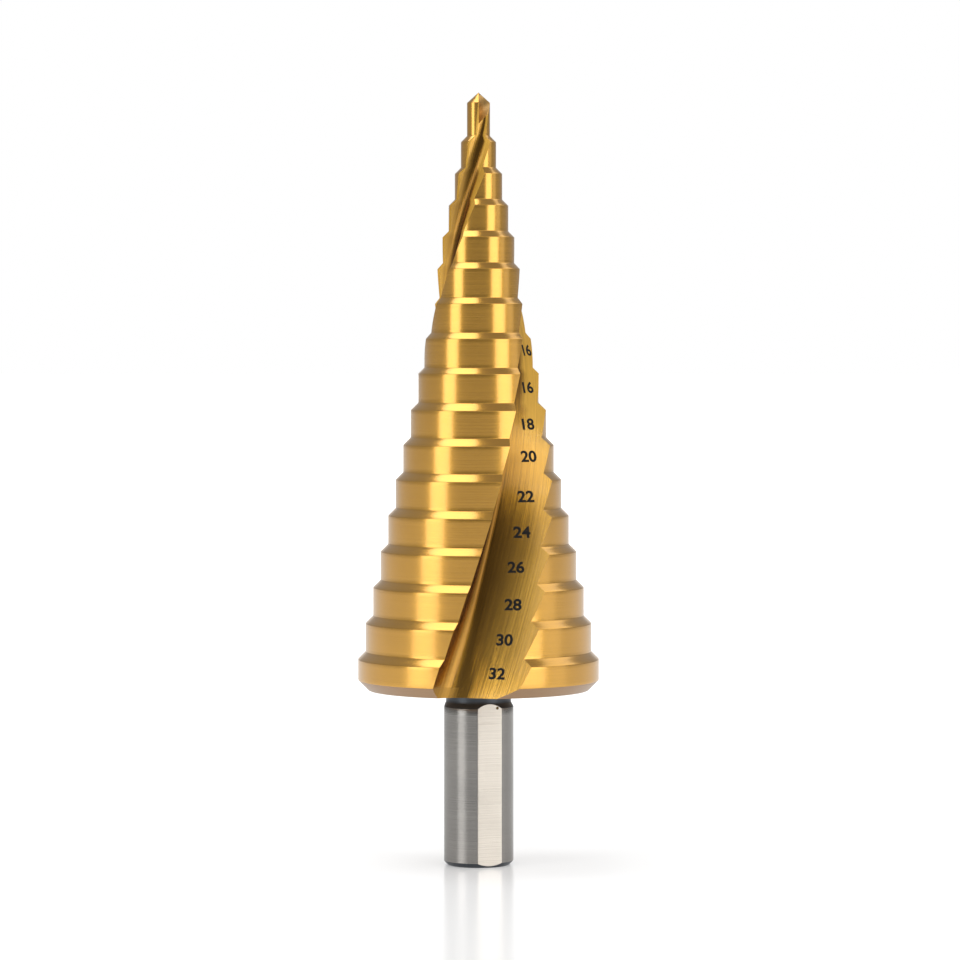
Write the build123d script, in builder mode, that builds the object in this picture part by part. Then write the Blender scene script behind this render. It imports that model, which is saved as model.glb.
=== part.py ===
"""Step drill: one solid bar of steel, turned in seventeen steps, with two helical flutes and a three-flat shank."""
from build123d import *
from math import asin, cos, degrees, exp, log, radians, sin, sqrt, tan
import os

os.makedirs("parts", exist_ok=True)

# ---------------------------------------------------------------- sizes in mm and degrees
# The origin is the centre of the shank's end. +Z runs up the axis to the point.
# The flute seen beside the point opens towards -Y.

# shank, held in a three-jaw chuck
shank_diameter = 9.3
shank_length = 21.05        # straight part, up to the bevel below the neck
shank_chamfer = 0.6         # chamfer at the free end, in from the side and up from the end
bevel_crown = 3.0           # the stone leaves that chamfer and the neck's bevel slightly crowned
flat_count = 3
flat_distance = 4.34        # from the axis to the face of each flat
flat_angle = -70.0          # direction in which the first flat faces, from +X

# neck between the shank and the cone
neck_diameter = 8.64
neck_bevel = 0.65           # height of the bevel from the shank down to the neck
neck_length = 1.6

# steps, counted from the base up
base_diameter = 32.0
back_chamfer = 1.35         # 45 degree chamfer under the largest step
coarse_steps = 8            # steps above the base one that lose the coarse increment
coarse_increment = 2.0      # on the diameter
fine_steps = 8              # equal steps from there down to the pilot
pilot_diameter = 3.04
base_pitch = 3.74           # height of the largest step with the chamfer above it
lower_steps = 5             # long steps above the base one
lower_pitch = 4.76
middle_steps = 6
middle_pitch = 4.605
upper_pitch = 4.19          # every step from there to the pilot
pilot_length = 4.36         # straight part of the smallest step
point_angle = 96.0          # included angle of the point

# flutes
flute_count = 2
flute_start = -93.0         # direction of the cutting edge at the point, from +X
helix_at_point = 11.0       # angle between the edge and the axis
helix_at_base = 18.6
flute_angle = 95.0          # between the rake face and the heel wall
flute_depth_point = 2.8     # from the cone of the steps in to the corner of those two faces
flute_depth_base = 3.6
rake_offset = 0.8           # the rake face lies this far ahead of the centre
least_core = 0.5            # keeps the corner on its own side of the axis near the point
floor_radius_point = 0.35   # rounding where the rake face meets the heel wall
floor_radius_base = 3.7
flute_sections = 23         # sections that the flute is lofted through

# gash that thins the web at the point
gash_radius = 3.5
gash_web = 0.24             # left between the two gashes

# ---------------------------------------------------------------- worked out from the sizes
shank_radius = shank_diameter / 2
neck_radius = neck_diameter / 2
base_radius = base_diameter / 2
pilot_radius = pilot_diameter / 2
step_count = 1 + coarse_steps + fine_steps
middle_radius = base_radius - coarse_steps * coarse_increment / 2

neck_foot = shank_length + neck_bevel
base_back = neck_foot + neck_length
base_foot = base_back + back_chamfer


def step_radius(index):
    """Radius of a step, where step 0 is the base and the last one is the pilot."""
    if index <= coarse_steps:
        return base_radius - index * coarse_increment / 2
    fine_share = (index - coarse_steps) / fine_steps
    return middle_radius + (pilot_radius - middle_radius) * fine_share


def step_pitch(index):
    """Height of a step together with the chamfer above it."""
    if index == 0:
        return base_pitch
    if index <= lower_steps:
        return lower_pitch
    if index <= lower_steps + middle_steps:
        return middle_pitch
    return upper_pitch


# Each step is a straight land, and above it a 45 degree chamfer that takes the radius down to
# the next step. The outline runs from the neck's foot up the outside to the point.
shank_side = [(shank_radius, shank_chamfer), (shank_radius, shank_length)]
outline = [
    (neck_radius, neck_foot),
    (neck_radius, base_back),
    (base_radius - back_chamfer, base_back),
    (base_radius, base_foot),
]
step_top = base_foot
for index in range(step_count - 1):
    step_top += step_pitch(index)
    drop = step_radius(index) - step_radius(index + 1)
    outline.append((step_radius(index), step_top - drop))
    outline.append((step_radius(index + 1), step_top))

point_shoulder = step_top + pilot_length
point_top = point_shoulder + pilot_radius / tan(radians(point_angle / 2))
outline.append((pilot_radius, point_shoulder))
outline.append((0, point_top))

# The cutting edge climbs the cone of the steps. Its turn is gain * log(1 + depth / run_in), the
# curve whose helix angle changes evenly from the value at the point to the value at the base.
cone_length = point_shoulder - base_foot
slope_point = tan(radians(helix_at_point))
slope_base = tan(radians(helix_at_base))
flute_gain = cone_length * slope_base / (base_radius - pilot_radius * slope_base / slope_point)
flute_run_in = flute_gain * pilot_radius / slope_point


def between(at_point, at_base, depth):
    """Value that changes evenly with the depth below the point's shoulder."""
    return at_point + (at_base - at_point) * depth / cone_length


def flute_plane(depth):
    """Plane across the axis whose x direction lies along the rake face and whose y crosses the flute."""
    cone_radius = between(pilot_radius, base_radius, depth)
    edge_angle = flute_start - degrees(flute_gain * log(1 + depth / flute_run_in))
    lead_angle = degrees(asin(rake_offset / max(cone_radius, pilot_radius)))
    return Plane.XY.offset(point_shoulder - depth).rotated((0, 0, edge_angle - lead_angle))


def corner_distance(depth):
    """Distance along the rake face from the centre to the flute's corner, never quite nothing."""
    cone_radius = between(pilot_radius, base_radius, depth)
    wanted = cone_radius - between(flute_depth_point, flute_depth_base, depth)
    return (wanted + sqrt(wanted**2 + least_core**2)) / 2


def on_wall(corner, distance):
    """Point on the heel wall, at a distance from the flute's corner."""
    tilt = radians(flute_angle)
    return (corner + distance * cos(tilt), rake_offset + distance * sin(tilt))


# ---------------------------------------------------------------- cutter for one flute
# Each section is a square that is open to the outside of the drill: one side is the rake face,
# the next is the heel wall, and their corner is rounded to make the flute's floor.
over_point = 2.0            # how far the cutter runs past the shoulder of the point
under_base = 0.6            # and past the back of the base, still clear of the neck
first_turn = log(1 - over_point / flute_run_in)
last_turn = log(1 + (point_shoulder - base_back + under_base) / flute_run_in)

with BuildPart() as flute_cutter:
    for number in range(flute_sections):
        turn = first_turn + (last_turn - first_turn) * number / (flute_sections - 1)
        depth = flute_run_in * (exp(turn) - 1)
        corner = corner_distance(depth)
        side = between(pilot_radius, base_radius, depth) + 3 * pilot_radius
        floor_radius = between(floor_radius_point, floor_radius_base, depth)
        tangent = floor_radius / tan(radians(flute_angle / 2))
        with BuildSketch(flute_plane(depth)):
            with BuildLine():
                rake_end = (corner + tangent, rake_offset)
                wall_end = on_wall(corner, tangent)
                RadiusArc(rake_end, wall_end, floor_radius)
                Polyline(
                    wall_end,
                    on_wall(corner, side),
                    (corner + side, rake_offset + side),
                    (corner + side, rake_offset),
                    rake_end,
                )
            make_face()
    loft()

# ---------------------------------------------------------------- cutter for the gash in one flute
gash_plane = Plane.YZ.rotated((0, 0, flute_start + 90)).offset(gash_web / 2)
with BuildPart() as gash_cutter:
    with BuildSketch(gash_plane):
        with Locations((-gash_web / 2 - gash_radius, point_shoulder)):
            Circle(gash_radius)
    extrude(amount=2 * pilot_radius)

# ---------------------------------------------------------------- the drill
with BuildPart() as step_drill:
    with BuildSketch(Plane.XZ):
        with BuildLine():
            end_edge = (shank_radius - shank_chamfer, 0)
            RadiusArc(end_edge, shank_side[0], -bevel_crown)
            Line(*shank_side)
            RadiusArc(shank_side[1], outline[0], -bevel_crown)
            Polyline(*outline, (0, 0), end_edge)
        make_face()
    revolve(axis=Axis.Z)

    # two flutes, half a turn apart
    with PolarLocations(0, flute_count):
        add(flute_cutter.part, mode=Mode.SUBTRACT)

    # The gash is cut by the rim of a wheel. Its flat side stands beside the cutting edge and just
    # ahead of the axis, so it leaves a thin web with a short lip on each side.
    with PolarLocations(0, flute_count):
        add(gash_cutter.part, mode=Mode.SUBTRACT)

    # three flats for the jaws of the chuck, which run out in the bevel below the neck
    with BuildSketch(Plane.XY):
        with PolarLocations(flat_distance + shank_radius / 2, flat_count, start_angle=flat_angle):
            Rectangle(shank_radius, shank_diameter)
    extrude(amount=neck_foot, mode=Mode.SUBTRACT)

step_drill.part.label = "step_drill"
export_step(step_drill.part, "parts/step_drill.step")
print("height", round(point_top, 3), "volume", round(step_drill.part.volume, 1))
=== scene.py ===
# %% [markdown]
# A step drill is one bar of steel. It is turned in steps that grow from the point to the base,
# two helical flutes are ground through them, and the cone is coated with a gold nitride. The
# shank below stays bare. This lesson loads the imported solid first, because every surface that
# is made here has to sit exactly where that solid is.

# %% Load the frame
from math import cos, log, pi, radians, sin, sqrt, tan
from types import SimpleNamespace
import bmesh
import bpy
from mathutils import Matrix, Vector
import numpy as np


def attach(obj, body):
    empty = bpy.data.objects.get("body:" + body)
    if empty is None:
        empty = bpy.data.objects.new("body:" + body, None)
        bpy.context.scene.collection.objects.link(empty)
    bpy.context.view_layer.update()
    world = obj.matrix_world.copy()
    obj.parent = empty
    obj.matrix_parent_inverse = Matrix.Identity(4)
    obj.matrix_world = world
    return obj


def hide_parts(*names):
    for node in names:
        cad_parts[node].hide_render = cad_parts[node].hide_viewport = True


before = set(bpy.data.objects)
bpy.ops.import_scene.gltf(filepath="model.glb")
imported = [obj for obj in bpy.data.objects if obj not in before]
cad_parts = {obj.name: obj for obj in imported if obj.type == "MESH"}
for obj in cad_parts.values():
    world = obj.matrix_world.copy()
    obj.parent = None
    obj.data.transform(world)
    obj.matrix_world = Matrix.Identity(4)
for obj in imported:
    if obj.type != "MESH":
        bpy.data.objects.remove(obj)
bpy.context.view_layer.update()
NODE = "step_drill"
MM = 0.001  # the sizes below are in millimetres, and Blender works in metres

# %% [markdown]
# The sizes are those of the turned and ground bar. Each step is a straight land with a
# 45 degree chamfer above it, which leads the next larger hole over the edge of the sheet.
# The radius and height of every step could be listed. Only these few numbers are stated
# instead, and all the rest is worked out from them, so one change moves everything above it.

# %% Driving sizes of the bar
SHANK_R, SHANK_TOP = 4.65, 21.05
SHANK_CHAMFER, CHAMFER_CROWN = 0.6, 3.0
FLAT_DISTANCE, FLAT_ANGLE, FLAT_COUNT = 4.34, -70.0, 3
NECK_R, NECK_BEVEL, NECK_LENGTH = 4.32, 0.65, 1.6
BASE_R, BACK_CHAMFER, PILOT_R = 16.0, 1.35, 1.52
COARSE_STEPS, COARSE_DROP, FINE_STEPS = 8, 1.0, 8
STEP_PITCHES = [3.74] + 5 * [4.76] + 6 * [4.605] + 4 * [4.19]
PILOT_LENGTH, POINT_ANGLE = 4.36, 96.0
EDGE_START = radians(-93.0)  # direction of the cutting edge at the point, from +X
HELIX_POINT, HELIX_BASE = radians(11.0), radians(18.6)
FLUTE_ANGLE = radians(95.0)  # between the rake face and the heel wall
FLUTE_DEPTH_POINT, FLUTE_DEPTH_BASE = 1.93, 3.6
RAKE_OFFSET, LEAST_CORE = 0.8, 0.05
OPENING, OFFSET_GAIN = radians(28.0), 0.1  # added to the angle and the offset at the point
FLOOR_R, FLOOR_GAIN_POINT, FLOOR_GAIN_BASE = 0.6, 2.0, 3.8
POINT_POWER, BASE_POWER = 3, 8  # how fast the gains fade away from the point and from the base
GASH_R, GASH_HALF_WEB, GASH_SLANT = 4.0, 0.12, 0.6

neck_foot = SHANK_TOP + NECK_BEVEL
base_back = neck_foot + NECK_LENGTH
base_foot = base_back + BACK_CHAMFER
coarse_radii = [BASE_R - COARSE_DROP * i for i in range(COARSE_STEPS + 1)]
step_radii = coarse_radii + list(np.linspace(coarse_radii[-1], PILOT_R, FINE_STEPS + 1)[1:])
step_tops = base_foot + np.cumsum(STEP_PITCHES)
shoulder = step_tops[-1] + PILOT_LENGTH
point_top = shoulder + PILOT_R / tan(radians(POINT_ANGLE / 2))
print("steps", len(step_radii), "shoulder", round(shoulder, 2), "point", round(point_top, 2))

# %% [markdown]
# A flute is the groove that carries the chips away, and its front edge is what cuts. It is
# ground with a wheel that follows the cone which the steps fit in. A Boolean could cut it out
# of the bar, but would leave ragged triangles along the cutting edge. Here it is a function,
# so the mesh can have its columns where the flute has its edges.
#
# The helix angle changes evenly from the point to the base, and the turn of such an edge is a
# logarithm of the depth below the shoulder. Across the axis the flute is two straight walls,
# the rake face and the heel wall, with a rounded floor between them. So a point on a flute
# needs two numbers: the height, and the distance along the section from the middle of the
# floor.

# %% The flute as a function of height and distance across it
cone_length = shoulder - base_foot
edge_gain = cone_length * tan(HELIX_BASE) / (BASE_R - PILOT_R * tan(HELIX_BASE) / tan(HELIX_POINT))
run_in = edge_gain * PILOT_R / tan(HELIX_POINT)
print("cone", round(cone_length, 2), "mm long")


def between(at_point, at_base, height):
    """Value that changes evenly from the shoulder of the point down to the foot of the base."""
    return at_point + (at_base - at_point) * (shoulder - height) / cone_length


def flute_form(height):
    """Angle between the walls, distance of the rake face ahead of the centre, and radius of the
    floor. Each is a plain value with gains at the two ends, where the wheel enters and leaves
    the bar. A gain fades with a power of the nearness to its end."""
    to_point = np.clip(between(1.0, 0.0, height), 0, 1) ** POINT_POWER
    to_base = np.clip(between(0.0, 1.0, height), 0, 1) ** BASE_POWER
    return (FLUTE_ANGLE + OPENING * to_point, RAKE_OFFSET + OFFSET_GAIN * to_point,
            FLOOR_R + FLOOR_GAIN_POINT * to_point + FLOOR_GAIN_BASE * to_base)


def flute_section(height, across):
    """Distances along and across the rake line of a point of the flute: straight out along the
    rake face, round the floor's arc, or straight out along the heel wall."""
    angle, offset, floor_r = flute_form(height)
    wanted = between(PILOT_R - FLUTE_DEPTH_POINT, BASE_R - FLUTE_DEPTH_BASE, height)
    corner = (wanted + np.sqrt(wanted ** 2 + LEAST_CORE ** 2)) / 2
    tangent = floor_r / np.tan(angle / 2)
    half_arc = floor_r * (pi - angle) / 2
    turn = (np.clip(across, -half_arc, half_arc) + half_arc) / floor_r
    on_rake = np.maximum(-across - half_arc, 0)
    on_heel = np.maximum(across - half_arc, 0)
    along = corner + tangent - floor_r * np.sin(turn) + on_rake + on_heel * np.cos(angle)
    ahead = offset + floor_r - floor_r * np.cos(turn) + on_heel * np.sin(angle)
    return along, ahead


# %% [markdown]
# The flute's section is endless on both sides, and the bar's surface ends it. Where they meet
# has no plain formula once the floor is rounded, so it is found by halving a stretch again
# and again, for all heights at once.

# %% Where the flute meets the outside of the bar
MIDDLE_TRIES = np.linspace(-4, 4, 801)
FAR_OUT, HALVINGS = 30.0, 50


def flute_middle(height):
    """Distance across at which the section comes nearest to the axis, from a fine sampling."""
    along, ahead = flute_section(height[:, None], MIDDLE_TRIES[None, :])
    return MIDDLE_TRIES[np.argmin(along ** 2 + ahead ** 2, axis=1)]


def flute_end(height, radius, side):
    """Distance across at which the flute meets the outside of the bar, found by halving.
    side is -1 for the cutting edge and +1 for the heel."""
    near = flute_middle(height)
    far = near + side * FAR_OUT
    for _ in range(HALVINGS):
        middle = (near + far) / 2
        along, ahead = flute_section(height, middle)
        inside = along ** 2 + ahead ** 2 < radius ** 2
        near, far = np.where(inside, middle, near), np.where(inside, far, middle)
    return near


def flute_turn(height):
    """Direction of the rake line: the cutting edge's own direction on the helix, less the
    direction at which the section meets the cone that the steps fit in."""
    edge = EDGE_START - edge_gain * np.log(1 + (shoulder - height) / run_in)
    cone_radius = np.maximum(between(PILOT_R, BASE_R, height), PILOT_R)
    along, ahead = flute_section(height, flute_end(height, cone_radius, -1))
    return edge - np.arctan2(ahead, along)


def flute_point(height, across):
    """x and y of a point of the first flute: its section turned to the rake face's direction.
    height is one value, or a column with a row of distances across."""
    height = np.asarray(height, float)
    along, ahead = flute_section(height, across)
    turn = flute_turn(height.ravel()).reshape(height.shape)
    return along * np.cos(turn) - ahead * np.sin(turn), along * np.sin(turn) + ahead * np.cos(turn)


edge_turn = edge_gain * log(1 + cone_length / run_in)
print("the cutting edge turns", round(edge_turn * 180 / pi, 1), "degrees")

# %% [markdown]
# The outside of the cone is a profile of radius against height. A lathe tool leaves no corner
# perfectly sharp, and it is the thin round along each corner that catches the light. A Bevel
# modifier would also round the cutting edges, so each corner of the profile gets a small
# curve instead. Near the point the rows stand close, because the gash changes fast there.

# %% Rows of the cone, from the back face to the tip
CORNER_LENGTH = 0.07  # straight length that each corner's curve takes from its sides
CORNER_POINTS = 4  # with the two where the curve leaves the straight sides
ROW_STEP, LEAST_ROWS = 0.5, 2
TIP_ROWS_FROM = 3.6  # the gash reaches this far below the shoulder
TIP_ROW_STEP = 0.07
TIP_GAP = 1e-3  # no row lies nearer to the tip than this
INSIDE = 0.9999  # the rows stay this share inside the exact cylinders


def rounded_rows(corners):
    """Heights and radii along a profile: a small parabola at each corner, and evenly spaced
    points on the straight stretches between them."""
    corners = np.asarray(corners, float)
    leg = np.diff(corners, axis=0)
    unit = leg / np.linalg.norm(leg, axis=1)[:, None]
    before = corners[1:-1] - unit[:-1] * CORNER_LENGTH
    after = corners[1:-1] + unit[1:] * CORNER_LENGTH
    t = np.linspace(0, 1, CORNER_POINTS)[:, None, None]
    curve = (1 - t) ** 2 * before + 2 * t * (1 - t) * corners[1:-1] + t ** 2 * after
    starts = np.vstack([corners[:1], after])
    ends = np.vstack([before, corners[-1:]])
    rows = []
    for number, (start, end) in enumerate(zip(starts, ends)):
        length = np.linalg.norm(end - start)
        count = max(int(np.ceil(length / ROW_STEP)), LEAST_ROWS)
        share = np.linspace(0, 1, count + 1)
        rows.append(start + share[:, None] * (end - start))
        if number < len(corners) - 2:
            rows.append(curve[1:-1, number])
    return np.vstack(rows)


outside = [(BASE_R - BACK_CHAMFER, base_back), (BASE_R, base_foot)]
for radius, next_radius, top in zip(step_radii, step_radii[1:], step_tops):
    outside += [(radius, top - (radius - next_radius)), (next_radius, top)]
outside += [(PILOT_R, shoulder), (0.0, point_top)]
profile = rounded_rows(outside)

tip_foot = shoulder - TIP_ROWS_FROM
tip_heights = np.arange(tip_foot, point_top, TIP_ROW_STEP)
heights = np.union1d(np.round(profile[:, 1], 5), np.round(tip_heights, 5))
heights = heights[heights < point_top - TIP_GAP]
radii = np.interp(heights, profile[:, 1], profile[:, 0]) * INSIDE
print("rows", len(heights))

# %% [markdown]
# At the point the two flutes leave a thick web between them, which would only rub. On the
# real drill a wheel grinds a gash into each side of it. Seen along the axis a gash is two
# straight lines: one beside the web, and one along the bottom of the wheel's cut, the shelf.
# The wheel is round, so the shelf runs out in an arc. The gash has directions of its own, and
# its points are worked out in them.

# %% The gash beside the web
gash_turn = EDGE_START + pi / 2
print("gash turned", round(gash_turn * 180 / pi, 1), "degrees from +X")
NO_GASH = -99.0  # inward limit at heights that the wheel doesn't reach
RIM_HALVINGS = 40


def to_gash(x, y):
    """The same point as seen from the gash's own directions."""
    return x * cos(gash_turn) + y * sin(gash_turn), -x * sin(gash_turn) + y * cos(gash_turn)


def from_gash(x, y):
    """A point given in the gash's directions, as x and y of the bar."""
    return x * cos(gash_turn) - y * sin(gash_turn), x * sin(gash_turn) + y * cos(gash_turn)


def spread(start, end, count):
    """count + 1 values from start to end for each row."""
    return start[:, None] + (end - start)[:, None] * np.linspace(0, 1, count + 1)[None, :]


def gash_floor(height, out):
    """How far in the gash reaches at a distance out from the web: the arc of its wheel, whose
    run-out slants, so that it ends sooner further out."""
    rise = np.clip(shoulder - height + GASH_SLANT * (out - GASH_HALF_WEB), -GASH_R, GASH_R)
    arc = -GASH_HALF_WEB - GASH_R + np.sqrt(GASH_R ** 2 - rise ** 2)
    return np.where(rise < GASH_R, arc, NO_GASH)


def gash_rim(height, radius):
    """Distance out at which the gash's floor meets the outside of the bar, found by halving."""
    near, far = np.full_like(height, GASH_HALF_WEB), np.maximum(radius, GASH_HALF_WEB)
    for _ in range(RIM_HALVINGS):
        middle = (near + far) / 2
        inside = middle ** 2 + gash_floor(height, middle) ** 2 < radius ** 2
        near, far = np.where(inside, middle, near), np.where(inside, far, middle)
    return near


def along_gash(height, curved, start, end, count):
    """Points from start to end in each row: along the gash's curved floor where the row has one,
    and straight elsewhere."""
    x, y = spread(start[0], end[0], count), spread(start[1], end[1], count)
    out, inward = to_gash(x, y)
    floor_in = gash_floor(height[:, None], out)
    sag = floor_in - spread(floor_in[:, 0], floor_in[:, -1], count)
    return from_gash(out, inward + np.where(curved[:, None], sag, 0))


# %% [markdown]
# A section of the cone repeats after half a turn. It runs from the cutting edge in along the
# rake face, round the floor and out along the heel wall, and then along the land to the other
# cutting edge. Which of these a height has depends on how the flute and the gash cross there,
# so the corners are found first, for all rows at once.

# %% Corners of half a section
EDGE_STRIP = 0.25  # width of the columns beside the cutting edge
FINE_SAMPLES = 600  # along the flute, to see which part of it the gash leaves
HAIR, SAME_SPOT = 1e-6, 1e-9  # differences that don't count


def section_corners(height, radius):
    """Where the corners of each row lie, as distances across the flute, or for web_foot and
    shelf as distances inward in the gash's directions, and which pieces the row has."""
    cut = SimpleNamespace()
    cut.rake_end = flute_end(height, radius, -1)
    cut.heel_end = flute_end(height, radius, +1)
    middle = flute_middle(height)
    along, ahead = flute_section(height, middle)
    has_flute = along ** 2 + ahead ** 2 < radius ** 2
    fine = spread(cut.rake_end, cut.heel_end, FINE_SAMPLES)
    gx, gy = to_gash(*flute_point(height[:, None], fine))
    in_gash = (gx > GASH_HALF_WEB) & (gy < gash_floor(height[:, None], gx))
    rows = np.arange(len(height))
    first_in = np.argmax(gx > GASH_HALF_WEB, axis=1)
    # the line beside the web starts on the rake face, or on the rim where there is no rake face
    cut.on_flute = has_flute & (gx[:, 0] < GASH_HALF_WEB)
    rim_web = -np.sqrt(np.maximum(radius ** 2 - GASH_HALF_WEB ** 2, 0))
    cut.web_foot = np.where(cut.on_flute, gy[rows, first_in], rim_web)
    cut.shelf = gash_floor(height, GASH_HALF_WEB)
    cut.gash = (cut.shelf > cut.web_foot + HAIR) & (radius > GASH_HALF_WEB)
    cut.plain = has_flute & ~cut.gash
    beside_edge = np.minimum(cut.rake_end + EDGE_STRIP, middle)
    cut.strip_end = np.where(cut.plain, beside_edge, fine[rows, first_in])
    # the part of the flute that the gash leaves
    left = ~in_gash & (fine > cut.strip_end[:, None] + SAME_SPOT)
    any_left = left.any(axis=1) & has_flute
    first_left = np.where(any_left, np.argmax(left, axis=1), 0)
    last_left = np.where(any_left, FINE_SAMPLES - np.argmax(left[:, ::-1], axis=1), 0)
    cut.flute_from = np.where(cut.plain, cut.strip_end, fine[rows, first_left])
    cut.flute_to = np.where(cut.plain, cut.heel_end, fine[rows, last_left])
    cut.flute = cut.plain | (cut.gash & any_left)
    return cut


cut = section_corners(heights, radii)
print("rows with a gash", int(cut.gash.sum()), "and with the flute", int(cut.flute.sum()))

# %% [markdown]
# Between its corners the section is filled with columns, a fixed number for each piece. A
# piece that a row doesn't have shrinks to a point there, and is merged away later. In this
# way a column runs along every edge of the drill, and no edge is a staircase.

# %% Columns of half a section
COUNTS = {"strip": 3, "web": 10, "shelf": 8, "flute": 40, "shelf_end": 8, "land": 48}
SHELF_PEAK = 0.6  # how far out the shelf turns where no flute shows above it
AT_HEEL = 1e-3  # a flute that ends this near to the heel reaches it


def pick(flags, this, other):
    """x and y of the first point where a row's flag is set, and of the other elsewhere."""
    return np.where(flags, this[0], other[0]), np.where(flags, this[1], other[1])


def half_columns(height, radius, cut):
    """x, y and the distance across for every column of half a section, from its corners."""
    column = height[:, None]
    # strip beside the cutting edge, from the rake face's rim or from the web's foot
    web_out = np.full_like(height, GASH_HALF_WEB)
    rim = from_gash(web_out, cut.web_foot)
    whole = radius * cos(EDGE_START), radius * sin(EDGE_START)
    other = pick(cut.gash, rim, whole)
    strip_across = spread(cut.rake_end, cut.strip_end, COUNTS["strip"])
    strip = pick((cut.plain | (cut.gash & cut.on_flute))[:, None], flute_point(column, strip_across),
                 (other[0][:, None], other[1][:, None]))
    end = strip[0][:, -1], strip[1][:, -1]
    # web: straight in to the knee, where the shelf begins
    knee = pick(cut.gash, from_gash(web_out, cut.shelf), end)
    web = spread(end[0], knee[0], COUNTS["web"]), spread(end[1], knee[1], COUNTS["web"])
    # shelf: along the gash's second line to where the flute shows, if it does
    rim_out = gash_rim(height, radius)
    peak_out = np.minimum(SHELF_PEAK, rim_out)
    peak = from_gash(peak_out, gash_floor(height, peak_out))
    meet = pick(cut.flute, flute_point(height, cut.flute_from), pick(cut.gash, peak, knee))
    shelf = along_gash(height, cut.gash, knee, meet, COUNTS["shelf"])
    # flute
    flute_across = spread(cut.flute_from, cut.flute_to, COUNTS["flute"])
    flute = pick(cut.flute[:, None], flute_point(column, flute_across),
                 (meet[0][:, None], meet[1][:, None]))
    last = flute[0][:, -1], flute[1][:, -1]
    # shelf again, out to the rim, if the gash is deeper than the heel
    deeper = cut.gash & ~(cut.flute & (np.abs(cut.flute_to - cut.heel_end) < AT_HEEL))
    out = pick(deeper, from_gash(rim_out, gash_floor(height, rim_out)), last)
    shelf_end = along_gash(height, deeper, last, out, COUNTS["shelf_end"])
    # land, along the rim to the other cutting edge
    start = np.arctan2(out[1], out[0])
    goal = np.arctan2(strip[1][:, 0], strip[0][:, 0]) + pi
    goal = goal + 2 * pi * np.ceil((start - goal) / (2 * pi))
    angle = spread(start, goal, COUNTS["land"])
    land = radius[:, None] * np.cos(angle), radius[:, None] * np.sin(angle)
    pieces = [strip, web, shelf, flute, shelf_end, land]
    return pieces, [strip_across, web[1], shelf[0], flute_across, shelf_end[0], angle]


pieces, across = half_columns(heights, radii, cut)
widths = {name: piece[0].shape[1] for name, piece in zip(COUNTS, pieces)}
print("columns in half a section", widths)

# %% [markdown]
# Every piece becomes its own patch of quads, so it can have its own finish and its own map
# of the grinding direction. The patches share their border points, which are merged at the
# end. The map is in millimetres: first along the marks of the grinding wheel, then across.

# %% Patches to a mesh
SHARP_ANGLE = 30  # degrees between faces from which an edge is drawn sharp
MERGE = 2e-7  # points nearer than this, in metres, become one
UNSHADED = [1.0, 0.0]  # map value of a point without any shade


def add_thing(name, data):
    """An object in the scene that shows a mesh, a lamp or a camera."""
    thing = bpy.data.objects.new(name, data)
    bpy.context.collection.objects.link(thing)
    return thing


def patch_faces(rows, columns):
    """Corner numbers of the quads of a grid whose points are numbered row by row."""
    index = np.arange(rows * columns).reshape(rows, columns)
    corners = [index[:-1, :-1], index[:-1, 1:], index[1:, 1:], index[1:, :-1]]
    return np.stack(corners, axis=-1).reshape(-1, 4)


def build_mesh(name, patches, materials):
    """One object from patches, each a grid of points, a grid of map values, a material number
    and whether its faces are turned round. A patch may end with a grid of a second map, its
    shade and how open it is. Points that patches share are merged."""
    points, corners, maps, shades, slots = [], [], [], [], []
    first = 0
    for grid, grain, slot, flip, *shade in patches:
        rows, columns = grid.shape[:2]
        quads = patch_faces(rows, columns)
        quads = quads[:, ::-1] if flip else quads
        points.append(grid.reshape(-1, 3))
        maps.append(grain.reshape(-1, 2)[quads.ravel()])
        plain = np.tile(UNSHADED, (quads.size, 1))
        shades.append(shade[0].reshape(-1, 2)[quads.ravel()] if shade else plain)
        corners.append(quads + first)
        slots.append(np.full(len(quads), slot))
        first += rows * columns
    points, corners = np.vstack(points) * MM, np.vstack(corners)
    mesh = bpy.data.meshes.new(name)
    mesh.from_pydata(points, [], corners.tolist())
    mesh.polygons.foreach_set("material_index", np.concatenate(slots).astype(np.int32))
    mesh.uv_layers.new(name="grain").data.foreach_set("uv", np.vstack(maps).ravel())
    mesh.uv_layers.new(name="place").data.foreach_set("uv", np.vstack(shades).ravel())
    work = bmesh.new()
    work.from_mesh(mesh)
    bmesh.ops.remove_doubles(work, verts=work.verts, dist=MERGE)
    work.to_mesh(mesh)
    work.free()
    mesh.shade_smooth()
    mesh.set_sharp_from_angle(angle=radians(SHARP_ANGLE))
    for material in materials:
        mesh.materials.append(material)
    print(name, "faces", len(mesh.polygons))
    return add_thing(name, mesh)


# %% [markdown]
# A finish is a small tree of nodes, which could be set up by hand in the shader editor. Most
# of the nodes only add, multiply or ease a number, so a few helpers keep the trees readable.

# %% Helpers for materials
def new_material(name):
    """A material, its tree and its Principled shader."""
    material = bpy.data.materials.new(name)
    material.use_nodes = True
    return material, material.node_tree, material.node_tree.nodes["Principled BSDF"]


def fill(node, values):
    """Sets some inputs of a node by their labels."""
    for label, value in values.items():
        node.inputs[label].default_value = value


def new_group(name, inputs, outputs):
    """An empty shader node group with named number sockets. Each input has a usual value."""
    group = bpy.data.node_groups.new(name, "ShaderNodeTree")
    for label, value in inputs.items():
        socket = group.interface.new_socket(label, in_out="INPUT", socket_type="NodeSocketFloat")
        socket.default_value = value
    for label in outputs:
        group.interface.new_socket(label, in_out="OUTPUT", socket_type="NodeSocketFloat")
    return group, group.nodes.new("NodeGroupInput"), group.nodes.new("NodeGroupOutput")


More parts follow.
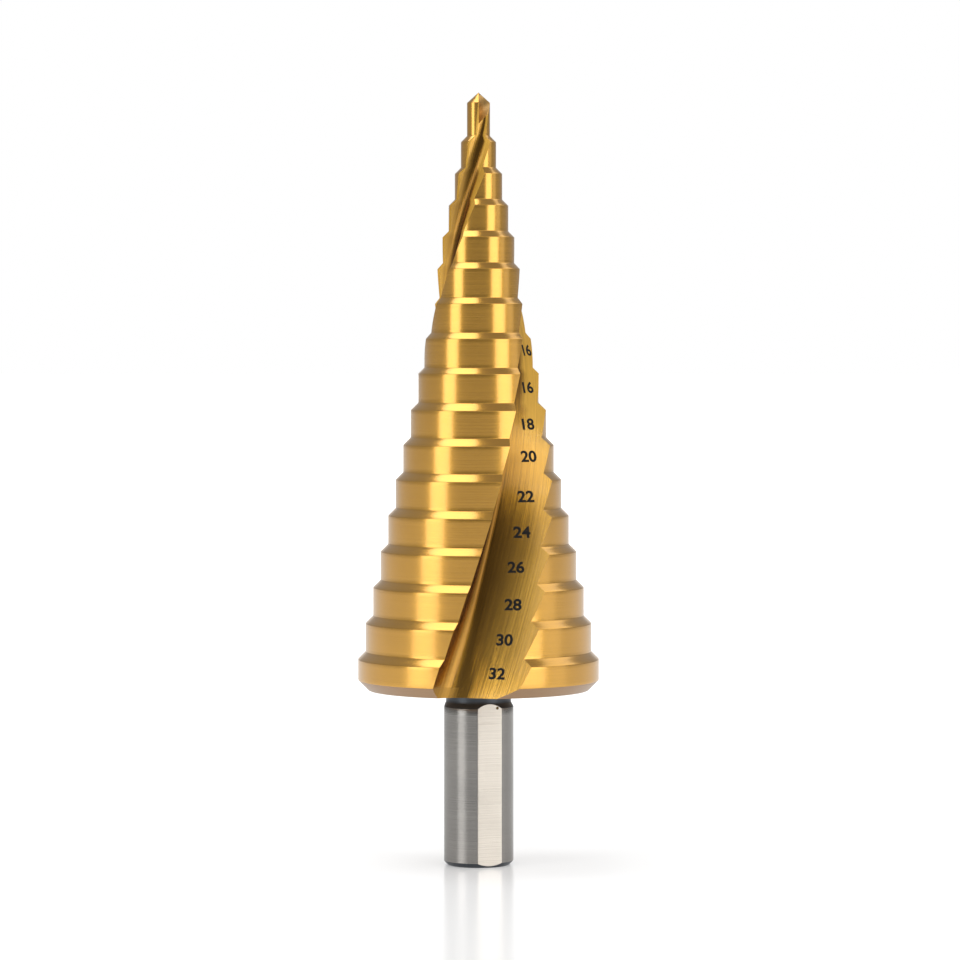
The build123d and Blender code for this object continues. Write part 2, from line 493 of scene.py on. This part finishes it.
def math_node(tree, operation, *values):
    """A Math node whose inputs are numbers or other nodes' outputs."""
    node = tree.nodes.new("ShaderNodeMath")
    node.operation = operation
    for socket, value in zip(node.inputs, values):
        if isinstance(value, (int, float)):
            socket.default_value = value
        else:
            tree.links.new(value, socket)
    return node.outputs[0]


def smooth_ramp(tree, value, limits, from_value, to_value):
    """A smooth change from one value to the other between two limits."""
    node = tree.nodes.new("ShaderNodeMapRange")
    node.interpolation_type = "SMOOTHSTEP"
    for socket, number in zip(list(node.inputs)[1:5], (*limits, from_value, to_value)):
        socket.default_value = number
    tree.links.new(value, node.inputs[0])
    return node.outputs[0]


def split(tree, value):
    """The three numbers of a place, a map value or a colour."""
    apart = tree.nodes.new("ShaderNodeSeparateXYZ")
    tree.links.new(value, apart.inputs[0])
    return list(apart.outputs)


def map_values(tree, uv_name):
    """The two numbers of one of the piece's own maps."""
    place = tree.nodes.new("ShaderNodeUVMap")
    place.uv_map = uv_name
    return split(tree, place.outputs[0])[:2]


def ray_kinds(tree):
    """Whether a ray comes straight from the camera, and whether it was mirrored."""
    path = tree.nodes.new("ShaderNodeLightPath").outputs
    mirrored = math_node(tree, "MAXIMUM", path["Is Glossy Ray"], path["Is Transmission Ray"])
    return path["Is Camera Ray"], mirrored


# %% [markdown]
# The coating is a hard gold nitride, about as shiny as the ground steel below it. It shows
# three things at close range: fine lines left by the wheel, a slow change of tone, and small
# dark pits. The bare shank shows them too. They could be painted once for each finish, but
# they are one effect, so they are a node group that every material places with its own
# values.

# %% Shared effect: grinding lines, tone and pits
LINE_DETAIL, LINE_ROUGHNESS = 3.0, 0.65
TONE_SCALE, TONE_DETAIL = 140.0, 2.0
PIT_CELLS = 420.0  # cells of the pit pattern in each metre
PIT_REACH, PIT_DEPTH = 0.085, 0.85


def grinding_group():
    """Lines that are long one way and fine the other: a noise with few changes in each
    millimetre along the marks and many across them. A second, slower noise gives the change of
    tone. Pits are the middles of a few cells of a cell pattern, chosen by each cell's own
    random colour."""
    usual = {"Along": 0.05, "Across": 6.0, "Pit share": 0.03}
    group, given, result = new_group("Grinding marks", usual, ("Lines", "Tone", "Pits"))
    link = group.links.new
    down, beside = map_values(group, "grain")
    stretched = group.nodes.new("ShaderNodeCombineXYZ")
    link(math_node(group, "MULTIPLY", down, given.outputs["Along"]), stretched.inputs[0])
    link(math_node(group, "MULTIPLY", beside, given.outputs["Across"]), stretched.inputs[1])
    lines = group.nodes.new("ShaderNodeTexNoise")
    fill(lines, {"Scale": 1.0, "Detail": LINE_DETAIL, "Roughness": LINE_ROUGHNESS})
    link(stretched.outputs[0], lines.inputs["Vector"])
    space = group.nodes.new("ShaderNodeTexCoord").outputs["Object"]
    tone = group.nodes.new("ShaderNodeTexNoise")
    fill(tone, {"Scale": TONE_SCALE, "Detail": TONE_DETAIL})
    link(space, tone.inputs["Vector"])
    cells = group.nodes.new("ShaderNodeTexVoronoi")
    fill(cells, {"Scale": PIT_CELLS})
    link(space, cells.inputs["Vector"])
    chance = split(group, cells.outputs["Color"])[0]
    chosen = math_node(group, "LESS_THAN", chance, given.outputs["Pit share"])
    near = math_node(group, "LESS_THAN", cells.outputs["Distance"], PIT_REACH)
    pits = math_node(group, "MULTIPLY", math_node(group, "MULTIPLY", chosen, near), PIT_DEPTH)
    link(lines.outputs[0], result.inputs["Lines"])
    link(tone.outputs[0], result.inputs["Tone"])
    link(pits, result.inputs["Pits"])
    return group


GRINDING = grinding_group()
print("shared effect:", GRINDING.name)

# %% [markdown]
# All the metals of the drill are the same material with other values: two tones, a roughness,
# and lines that are longer or shorter, coarser or finer. A thin clear coat on top stands for the
# coating's own hard shine. Deep in the flute little light arrives, and what does has met the
# gold more than once, so it is darker and redder. A render follows only a few bounces, so the
# flute brings its shade along in a map, and each colour channel takes a power of it.

# %% One ground metal for all finishes
COAT_ROUGH, COAT_IOR = 0.15, 1.9
LINES_SHARE, TONE_SHARE = 0.6, 0.4
WARMTH = (0.9, 1.05, 1.35)  # powers of the shade in red, green and blue
DULL_METAL, DULL_ROUGH = 0.70, 0.20  # what an open wall loses in metal and gains in roughness
DULL_SPECULAR = 0.2


def shaded_by_map(tree, shader, kept, rough, coat):
    """Takes the flute's own map into a metal: its shade darkens the colour and the coat, and
    an open wall is less metallic, rougher and has no coat. Gives the new colour and roughness."""
    shade, opened = map_values(tree, "place")
    coated = math_node(tree, "MULTIPLY", shade, math_node(tree, "SUBTRACT", 1.0, opened))
    tree.links.new(math_node(tree, "MULTIPLY", coated, coat), shader.inputs["Coat Weight"])
    metallic = math_node(tree, "MULTIPLY_ADD", opened, -DULL_METAL, 1.0)
    tree.links.new(metallic, shader.inputs["Metallic"])
    fill(shader, {"Specular IOR Level": DULL_SPECULAR})
    return (math_node(tree, "MULTIPLY", kept, shade),
            math_node(tree, "MULTIPLY_ADD", opened, DULL_ROUGH, rough))


def mixed(tree, blend, share, first, second):
    """A colour Mix node. Its share and colours are numbers or other nodes' outputs."""
    node = tree.nodes.new("ShaderNodeMix")
    node.data_type = "RGBA"
    node.blend_type = blend
    for place, value in ((0, share), (6, first), (7, second)):
        if isinstance(value, tuple):
            node.inputs[place].default_value = (*value, 1)
        elif isinstance(value, float):
            node.inputs[place].default_value = value
        else:
            tree.links.new(value, node.inputs[place])
    return node.outputs[2]


def metal(name, dark, light, rough, lines_rough, bump, along, across,
          coat=0.0, shaded=False, pits=0.03):
    """A ground metal: two tones mixed by the lines and the slow tone, with the lines also in the
    roughness and the surface height. Where shaded is True the map called place darkens it."""
    material, tree, shader = new_material(name)
    fill(shader, {"Metallic": 1.0, "Coat Weight": coat, "Coat Roughness": COAT_ROUGH,
                  "Coat IOR": COAT_IOR})
    marks = tree.nodes.new("ShaderNodeGroup")
    marks.node_tree = GRINDING
    fill(marks, {"Along": along, "Across": across, "Pit share": pits})
    lines = marks.outputs["Lines"]
    tone_part = math_node(tree, "MULTIPLY", marks.outputs["Tone"], TONE_SHARE)
    share = math_node(tree, "MULTIPLY_ADD", lines, LINES_SHARE, tone_part)
    kept = math_node(tree, "SUBTRACT", 1.0, marks.outputs["Pits"])
    if shaded:
        kept, rough = shaded_by_map(tree, shader, kept, rough, coat)
    warm = tree.nodes.new("ShaderNodeCombineColor")
    for channel, power in enumerate(WARMTH):
        tree.links.new(math_node(tree, "POWER", kept, power), warm.inputs[channel])
    colour = mixed(tree, "MULTIPLY", 1.0, mixed(tree, "MIX", share, dark, light), warm.outputs[0])
    tree.links.new(colour, shader.inputs["Base Color"])
    lines_part = math_node(tree, "MULTIPLY_ADD", lines, lines_rough, -lines_rough / 2)
    tree.links.new(math_node(tree, "ADD", lines_part, rough), shader.inputs["Roughness"])
    height = tree.nodes.new("ShaderNodeBump")
    fill(height, {"Strength": 1.0, "Distance": bump * MM})
    tree.links.new(lines, height.inputs["Height"])
    tree.links.new(height.outputs[0], shader.inputs["Normal"])
    return material


# %% [markdown]
# The lands are ground round the axis, with very fine lines. The flutes are ground along, with
# a coarser wheel. The back of the cone and the gash are rough, and their brownish colours are
# painted shade: the back mirrors the shadowed table, and the gash lies deep in its scoop. The
# shank is bare steel: bright on its flats, greyer round the bar, and almost black where it was
# only turned.

# %% The finishes of the drill
gold_land = metal("gold land", (0.50, 0.25, 0.022), (0.78, 0.41, 0.052),
                  rough=0.22, lines_rough=0.14, bump=0.005, along=0.03, across=9.0, coat=0.5)
gold_flute = metal("gold flute", (0.24, 0.115, 0.010), (1.0, 0.58, 0.09), rough=0.22, lines_rough=0.18,
                   bump=0.03, along=0.05, across=4.5, coat=0.4, shaded=True)
ground_steel = metal("ground steel", (0.14, 0.138, 0.135), (0.42, 0.40, 0.37), rough=0.20,
                     lines_rough=0.14, bump=0.012, along=0.004, across=14.0, pits=0.05)
ground_flat = metal("ground flat", (0.34, 0.31, 0.27), (0.92, 0.85, 0.75), rough=0.32,
                    lines_rough=0.18, bump=0.05, along=0.02, across=6.0, pits=0.06)
dark_steel = metal("dark turned steel", (0.04, 0.044, 0.052), (0.10, 0.11, 0.12), rough=0.35,
                   lines_rough=0.12, bump=0.004, along=0.05, across=8.0)
# back face and chamfer under the base: darker, browner colours are painted shade, the shadowed table they
# mirror
gold_back_painted_shade = metal("gold back face painted shade", (0.30, 0.185, 0.10), (0.42, 0.27, 0.15), rough=0.4,
                  lines_rough=0.1, bump=0.004, along=0.03, across=8.0, coat=0.2)
# gash: browner, less saturated colours are painted shade inside the scooped gash; the extra roughness is
# real
gold_gash_painted_shade = metal("gold gash painted shade", (0.50, 0.29, 0.09), (0.78, 0.48, 0.17), rough=0.36,
                  lines_rough=0.12, bump=0.004, along=0.05, across=4.0, coat=0.3)
print("materials", [material.name for material in bpy.data.materials])

# %% [markdown]
# The shade of the flute is worked out from the same two numbers as its shape. Low down the
# flute is deep and its floor is the dark part. Higher up it opens, only the middle stays dark,
# and the wall next to the heel is light. The shade and the openness are the two values of a
# map, which the flute's finish reads.

# %% The shade of the flute
NARROW_FLOOR = 0.5  # half length taken for a floor that is sharper than this
RAKE_SHADE = 0.38
SHADE_ROWS = [21.0, 30.0, 36.0, 46.0, 54.0, 60.0]  # heights of the two lists below
FLOOR_SHADE = [0.62, 0.42, 0.25, 0.22, 0.30, 0.8]
WALL_FADE = [2.5, 3.5, 5.0, 9.0, 9.0, 3.0]  # way up the heel wall on which the shade ends
OPEN_FROM, OPEN_FADE = 55.0, 8.0  # height from which the flute is open, and how soon
DEEP_SHADE, EDGE_SHADE = 0.28, 0.80
STRIP_FROM, STRIP_FADE = 0.36, 0.22  # shares of the way from floor to heel


def flute_shade(height, across):
    """Shade and openness of points of the flute. Below, the shade is RAKE_SHADE on the rake
    face and a low value at the floor, and goes to 1 up the heel wall. In the open part it falls
    from the cutting edge to the middle, and is 1 on the strip next to the heel."""
    angle, _, floor_r = flute_form(height)
    half_arc = floor_r * (pi - angle) / 2
    floor_shade = np.interp(height, SHADE_ROWS, FLOOR_SHADE)
    fade = np.interp(height, SHADE_ROWS, WALL_FADE)
    rake = np.clip(-across / np.maximum(half_arc, NARROW_FLOOR), 0, 1)
    wall = np.clip((across - half_arc) / fade, 0, 1)
    lower = floor_shade + (RAKE_SHADE - floor_shade) * rake + (1 - floor_shade) * wall
    reach = across / across.max(axis=-1, keepdims=True)
    rake_side = np.clip(-across / np.abs(across.min(axis=-1, keepdims=True)), 0, 1)
    strip = np.clip((reach - STRIP_FROM) / STRIP_FADE, 0, 1)
    upper = DEEP_SHADE + (EDGE_SHADE - DEEP_SHADE) * rake_side + (1 - DEEP_SHADE) * strip
    opened = np.clip((height - OPEN_FROM) / OPEN_FADE, 0, 1)
    shade = np.clip(lower + opened * (upper - lower), 0, 1)
    return np.stack([shade, opened * strip], axis=-1)


print("darkest shade of the flute's floor", min(FLOOR_SHADE))

# %% [markdown]
# The cone is the two halves of the section on all rows. All its columns meet in one point at
# the tip, and a flat back face closes it below, with rings that shrink from the section's
# outline to the neck. The underside of the largest step is chamfered. That chamfer and the
# back face look down at the shadowed table, so they share a finish whose darker colour is
# painted shade.

# %% The cone with its flutes
LAND, FLUTE, BACK, GASH = range(4)  # places of the finishes on the cone
BACK_RINGS = np.linspace(0, 1, 7)
GRAIN_PER_RADIAN = 10.0  # length on the map of a radian round the axis


def lift(x, y, z):
    """A grid of points at given heights."""
    return np.stack([x, y, np.broadcast_to(z, x.shape)], axis=-1)


def capped(grid):
    """The grid with its last row once more, for the tip."""
    return np.concatenate([grid, grid[-1:]])


def back_patch(x, y):
    """The back face between a stretch of the cone's outline and the neck: rings that go evenly
    from the one to the other."""
    rim = np.stack([x, y], axis=-1)
    turn = np.arctan2(rim[:, 1], rim[:, 0])
    inner = NECK_R * np.stack([np.cos(turn), np.sin(turn)], axis=-1)
    ring = rim[None] + (inner - rim)[None] * BACK_RINGS[:, None, None]
    back = lift(ring[..., 0], ring[..., 1], base_back)
    size = np.hypot(back[..., 0], back[..., 1])
    grain = np.stack([np.broadcast_to(turn * GRAIN_PER_RADIAN, size.shape), size], axis=-1)
    return back, grain, BACK, True


patches = []
foot_row = int(np.argmin(np.abs(heights - base_foot)))
for sign in (1, -1):
    for name, (px, py), piece_across in zip(COUNTS, pieces, across):
        grid = lift(sign * px, sign * py, heights[:, None])
        if name == "land":
            grain = np.stack([piece_across * GRAIN_PER_RADIAN, grid[..., 2]], axis=-1)
        else:
            grain = np.stack([grid[..., 2], piece_across], axis=-1)
        grid, grain = capped(grid), capped(grain)
        grid[-1] = (0, 0, point_top)
        if name == "land":
            patches.append((grid[:foot_row + 1], grain[:foot_row + 1], BACK, False))
            patches.append((grid[foot_row:], grain[foot_row:], LAND, False))
        elif name in ("strip", "flute"):
            shade = capped(flute_shade(heights[:, None], piece_across))
            patches.append((grid, grain, FLUTE, False, shade))
        else:
            patches.append((grid, grain, GASH, False))
        patches.append(back_patch(sign * px[0], sign * py[0]))
cone = build_mesh("drill_cone", patches, [gold_land, gold_flute, gold_back_painted_shade, gold_gash_painted_shade])
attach(cone, "root")
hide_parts(NODE)

# %% [markdown]
# The shank is a round bar with three flats for the jaws of a chuck. Where a flat runs into
# the bevel its edge is an arch, because the bar gets thinner there. A cylinder with flats cut
# off would have that arch as a row of long triangles, so here the rows stand closer together
# where the flat's width changes fast.

# %% Rows of the neck and the shank
END_ROWS, ARCH_ROWS, CROWN_POINTS, SIDE_ROWS, NECK_ROWS = 5, 16, 200, 22, 5


def shank_rows():
    """Heights and radii from the end of the shank up to the back of the cone. Rows stand close
    together where a flat's width changes fast, at equal steps of its half angle."""
    # crowned chamfer at the end: a circle of radius CHAMFER_CROWN through both its rims
    low, high = np.array([SHANK_R - SHANK_CHAMFER, 0.0]), np.array([SHANK_R, SHANK_CHAMFER])
    chord = high - low
    half = np.linalg.norm(chord) / 2
    inward = np.array([-chord[1], chord[0]]) / (2 * half)
    centre = (low + high) / 2 + inward * sqrt(CHAMFER_CROWN ** 2 - half ** 2)
    from_turn = np.arctan2(*(low - centre)[::-1])
    to_turn = np.arctan2(*(high - centre)[::-1])
    full = np.arccos(FLAT_DISTANCE / SHANK_R)
    arch_r = FLAT_DISTANCE / np.cos(np.linspace(0, full, ARCH_ROWS))
    turn = np.linspace(from_turn, to_turn, CROWN_POINTS)
    crown = centre + CHAMFER_CROWN * np.stack([np.cos(turn), np.sin(turn)], axis=-1)
    end_r = np.concatenate([np.linspace(low[0], FLAT_DISTANCE, END_ROWS)[:-1], arch_r])
    end_z = np.interp(end_r, crown[:, 0], crown[:, 1])
    side_z = np.linspace(SHANK_CHAMFER, SHANK_TOP, SIDE_ROWS)[1:-1]
    bevel_r = np.concatenate([arch_r[::-1], [NECK_R]])
    bevel_z = SHANK_TOP + NECK_BEVEL * (SHANK_R - bevel_r) / (SHANK_R - NECK_R)
    neck_z = np.linspace(neck_foot, base_back, NECK_ROWS)[1:]
    r = np.concatenate([end_r, np.full(len(side_z), SHANK_R), bevel_r, np.full(len(neck_z), NECK_R)])
    z = np.concatenate([end_z, side_z, bevel_z, neck_z])
    return r, z


bar_r, bar_z = shank_rows()
print("rows of the shank and the neck", len(bar_r))

# %% [markdown]
# The columns follow the edges of the flats: each flat keeps the same number of columns while
# its width shrinks, and the round stretch between two flats takes what is left. A disc of
# rings closes the end that stands on the table.

# %% The neck and the shank
FLAT_COLUMNS, ROUND_COLUMNS = 24, 40
ROUND, FLAT, TURNED = range(3)  # places of the finishes on the shank
END_RINGS = (1.0, 0.66, 0.33, 0.0)
FLAT_TURN = 2 * pi / FLAT_COUNT
half_flat = np.arccos(np.minimum(FLAT_DISTANCE / bar_r, 1.0))
stretches = [(bar_z <= SHANK_CHAMFER + HAIR, TURNED),
             ((bar_z >= SHANK_CHAMFER - HAIR) & (bar_z <= SHANK_TOP + HAIR), ROUND),
             (bar_z >= SHANK_TOP - HAIR, TURNED)]
patches = []
end_turns = []
for number in range(FLAT_COUNT):
    facing = radians(FLAT_ANGLE) + FLAT_TURN * number
    turn = facing + spread(-half_flat, half_flat, FLAT_COLUMNS)
    reach = FLAT_DISTANCE / np.cos(turn - facing)
    reach = np.where(half_flat[:, None] > 0, reach, bar_r[:, None])
    grid = lift(reach * np.cos(turn), reach * np.sin(turn), bar_z[:, None])
    sideways = reach * np.sin(turn - facing)
    patches.append((grid, np.stack([sideways, grid[..., 2]], axis=-1), FLAT, False))
    turn = facing + spread(half_flat, FLAT_TURN - half_flat, ROUND_COLUMNS)
    grid = lift(bar_r[:, None] * np.cos(turn), bar_r[:, None] * np.sin(turn), bar_z[:, None])
    grain = np.stack([turn * GRAIN_PER_RADIAN, grid[..., 2]], axis=-1)
    patches += [(grid[rows], grain[rows], slot, False) for rows, slot in stretches]
    end_turns.append(facing + FLAT_TURN * np.linspace(0, 1, ROUND_COLUMNS + 1))
edge = np.concatenate(end_turns)
disc_r = bar_r[0] * np.array(END_RINGS)[:, None]
disc = lift(disc_r * np.cos(edge), disc_r * np.sin(edge), 0.0)
patches.append((disc, disc[..., :2], ROUND, True))
shank = build_mesh("drill_shank", patches, [ground_steel, ground_flat, dark_steel])
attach(shank, "root")
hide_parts(NODE)

# %% [markdown]
# The sizes are marked on the heel wall of one flute, burnt on dark by a laser. They could be
# an image laid over the wall, but drawn figures stay sharp at any distance. Each is text made
# into a flat mesh, a little wider and bolder than the font has it.

# %% The figures
MARK_HEIGHT = 1.5
FIGURE_STRETCH, FIGURE_BOLD = 1.14, 0.03


def figure_points(text):
    """Flat mesh of a figure with its middle at the origin, one unit high."""
    curve = bpy.data.curves.new("figure", "FONT")
    curve.body = text
    curve.align_x, curve.align_y = "CENTER", "CENTER"
    curve.offset = FIGURE_BOLD
    holder = bpy.data.objects.new("figure", curve)
    mesh = bpy.data.meshes.new_from_object(holder)
    bpy.data.objects.remove(holder)
    work = bmesh.new()
    work.from_mesh(mesh)
    bmesh.ops.triangulate(work, faces=work.faces)
    bmesh.ops.subdivide_edges(work, edges=work.edges, cuts=1)
    work.to_mesh(mesh)
    work.free()
    flat = np.empty(len(mesh.vertices) * 3)
    mesh.vertices.foreach_get("co", flat)
    flat = flat.reshape(-1, 3)[:, :2]
    flat = flat - (flat.max(axis=0) + flat.min(axis=0)) / 2
    flat = flat / np.ptp(flat[:, 1]) * (FIGURE_STRETCH, 1.0)
    return flat, [tuple(p.vertices) for p in mesh.polygons]


# %% [markdown]
# The flat figures are then bent onto the wall: each point keeps its height and its distance
# along the wall's own horizontal, and is set a hair in front of the surface.

# %% Marks on the heel wall
MARKS = [("32", 26.5, 3.6), ("30", 30.8, 3.6), ("28", 35.3, 3.4), ("26", 40.1, 3.8), ("24", 44.6, 3.6),
         ("22", 49.2, 3.5), ("20", 54.4, 3.3), ("18", 58.6, 3.3), ("16", 63.4, 2.9), ("16", 68.3, 2.0)]
MARK_PROUD = 0.012
ASIDE = 0.1  # step along the wall that shows its direction


def heel_wall(height, out):
    """x and y on the heel wall of the second flute, which is the first one turned by half a
    turn, at a distance inside the heel's edge on the cone."""
    reach = flute_end(height, between(PILOT_R, BASE_R, height), +1)
    x, y = flute_point(height, reach - out)
    return -x, -y


def mark_points(text, height, inside):
    """Points and faces of a figure on the wall, with its middle at a height and a distance
    inside the heel's edge. The wall is taken as straight across each of the figure's heights."""
    flat, faces = figure_points(text)
    middle = np.array(heel_wall(np.array([height]), inside)).ravel()
    beside = np.array(heel_wall(np.array([height]), inside - ASIDE)).ravel()
    sideways = (beside - middle) / np.linalg.norm(beside - middle)
    z = height + flat[:, 1] * MARK_HEIGHT
    start = np.stack(heel_wall(z, inside), axis=-1)
    step = (np.stack(heel_wall(z, inside - ASIDE), axis=-1) - start) / ASIDE
    wanted = flat[:, 0] * MARK_HEIGHT
    out = (wanted - (start - middle) @ sideways) / (step @ sideways)
    front = np.array([sideways[1], -sideways[0]])
    spot = start + step * out[:, None] + front * MARK_PROUD
    return np.column_stack([spot, z]), faces


ink, _, shader = new_material("laser mark")
fill(shader, {"Base Color": (0.012, 0.010, 0.009, 1), "Specular IOR Level": 0.15, "Roughness": 0.55})

mark_grids, mark_faces = [], []
for text, height, inside in MARKS:
    grid, faces = mark_points(text, height, inside)
    first = sum(len(other) for other in mark_grids)
    mark_grids.append(grid)
    mark_faces += [tuple(i + first for i in face) for face in faces]
mark_mesh = bpy.data.meshes.new("size_marks")
mark_mesh.from_pydata(np.vstack(mark_grids) * MM, [], mark_faces)
mark_mesh.materials.append(ink)
marks = add_thing("size_marks", mark_mesh)
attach(marks, "root")
print("marks", len(MARKS), "faces", len(mark_mesh.polygons))

# %% [markdown]
# A small object looks natural when it is seen from about half a metre away with a long lens,
# which keeps the steps almost level. The camera stands a little above the middle of the drill
# and looks slightly down.

# %% Camera
CAMERA_DISTANCE, CAMERA_HEIGHT, CAMERA_SIDE = 540.0, 70.9, 0.2
CAMERA_TILT = 2.1
FOCAL_PIXELS, FRAME_PIXELS, SENSOR = 4077.0, 960.0, 36.0
lens = bpy.data.cameras.new("camera")
lens.sensor_width = SENSOR
lens.lens = FOCAL_PIXELS / FRAME_PIXELS * SENSOR
lens.clip_start, lens.clip_end = 0.01, 50.0
camera = add_thing("camera", lens)
camera.location = (CAMERA_SIDE * MM, -CAMERA_DISTANCE * MM, CAMERA_HEIGHT * MM)
camera.rotation_euler = (radians(90 - CAMERA_TILT), 0, 0)
bpy.context.scene.camera = camera
print("focal length", round(lens.lens, 1), "mm")

# %% [markdown]
# Metal is mostly the picture of what stands around it. Two upright soft boxes give the two
# bright bands down the cone, and smaller ones above and beside it light the chamfers. Point
# lamps would give hard sparks instead of bands. Azimuth is measured from the camera's side,
# and is positive to the camera's right.

# %% Soft boxes
TARGET = (0.0, 0.0, 0.055)
SOFT_BOXES = [  # name, azimuth and elevation in degrees, distance, width and height in m, watts
    ("left box", -57, 6, 0.9, 0.42, 1.1, 3.1),
    ("right box", 51, 6, 0.9, 0.50, 1.1, 3.5),
    ("right fill", 82, 6, 0.9, 0.30, 1.1, 0.5),
    ("top box", -100, 74, 0.8, 0.45, 0.45, 1.6),
    ("right top box", 110, 42, 0.9, 0.6, 0.4, 0.8),
    ("front top box", 0, 44, 0.9, 1.1, 0.3, 1.0)]


def soft_box(name, azimuth, elevation, distance, width, height, power):
    """Area lamp on a ball round the drill, turned so that it looks at the drill's middle."""
    lamp = bpy.data.lights.new(name, "AREA")
    lamp.shape = "RECTANGLE"
    lamp.size, lamp.size_y = width, height
    lamp.energy = power
    thing = add_thing(name, lamp)
    a, e = radians(azimuth), radians(elevation)
    thing.location = (distance * sin(a) * cos(e), -distance * cos(a) * cos(e), TARGET[2] + distance * sin(e))
    direction = Vector(TARGET) - thing.location
    thing.rotation_euler = direction.to_track_quat("-Z", "Y").to_euler()


for box in SOFT_BOXES:
    soft_box(*box)
print("soft boxes", len(SOFT_BOXES))

# %% [markdown]
# The room around is white to the camera, but gold between two white boxes would look flat if
# it mirrored white as well. So a mirrored ray sees a grey room, darker in front of the drill
# and bright only behind it, and that gives the deep gold between the bands. Dark cards could
# do it too, but they would stand in the way of other views.

# %% Background
AMBIENT = 0.5
SIDE, FRONT, BEHIND = 0.40, 0.25, 0.9
FRONT_LIMITS, BEHIND_LIMITS = (-0.95, -0.55), (0.93, 0.99)
world = bpy.data.worlds.new("studio")
bpy.context.scene.world = world
world.use_nodes = True
tree = world.node_tree
background = tree.nodes["Background"]
fill(background, {"Color": (1, 1, 1, 1)})
from_camera, mirrored = ray_kinds(tree)
depth = split(tree, tree.nodes.new("ShaderNodeTexCoord").outputs["Generated"])[1]
in_front = smooth_ramp(tree, depth, FRONT_LIMITS, FRONT - SIDE, 0.0)
behind = smooth_ramp(tree, depth, BEHIND_LIMITS, 0.0, BEHIND - SIDE)
grey = math_node(tree, "ADD", math_node(tree, "ADD", in_front, behind), SIDE)
strength = math_node(tree, "MULTIPLY_ADD", from_camera, 1.0 - AMBIENT, AMBIENT)
strength = math_node(tree, "MULTIPLY", strength, math_node(tree, "SUBTRACT", 1.0, mirrored))
strength = math_node(tree, "MULTIPLY_ADD", mirrored, grey, strength)
tree.links.new(strength, background.inputs["Strength"])
print("mirrored rays see", FRONT, "in front and", BEHIND, "behind")

# %% [markdown]
# The drill stands on a polished white table. Near it the table keeps the soft shadow and a
# faint mirror image of the shank. Further out it has to fade into the white room without a
# line, so to the camera it glows a little more with the distance from the drill.

# %% Floor
FLOOR_HALF = 6.0  # metres
FLOOR_WHITE, FLOOR_ROUGH, FLOOR_SPECULAR = 0.9, 0.2, 0.2
GLOW_LIMITS = (0.08, 0.55)  # metres from the axis between which the glow grows
GLOW_NEAR, GLOW_FAR, GLOW_MIRRORED = 0.22, 1.2, 0.26
corners = [(x * FLOOR_HALF, y * FLOOR_HALF, 0) for x, y in ((-1, -1), (1, -1), (1, 1), (-1, 1))]
floor_mesh = bpy.data.meshes.new("floor")
floor_mesh.from_pydata(corners, [], [(0, 1, 2, 3)])
paint, tree, shader = new_material("floor")
fill(shader, {"Base Color": (FLOOR_WHITE, FLOOR_WHITE, FLOOR_WHITE, 1), "Roughness": FLOOR_ROUGH,
              "Specular IOR Level": FLOOR_SPECULAR, "Emission Color": (1, 1, 1, 1)})
from_camera, mirrored = ray_kinds(tree)
distance = tree.nodes.new("ShaderNodeVectorMath")
distance.operation = "LENGTH"
tree.links.new(tree.nodes.new("ShaderNodeTexCoord").outputs["Object"], distance.inputs[0])
glow = smooth_ramp(tree, distance.outputs["Value"], GLOW_LIMITS, GLOW_NEAR, GLOW_FAR)
glow = math_node(tree, "MULTIPLY", glow, from_camera)
glow = math_node(tree, "MULTIPLY_ADD", mirrored, GLOW_MIRRORED, glow)
tree.links.new(glow, shader.inputs["Emission Strength"])
floor_mesh.materials.append(paint)
floor = add_thing("floor", floor_mesh)
bpy.context.scene.view_settings.view_transform = "Standard"
print("floor", 2 * FLOOR_HALF, "m wide")
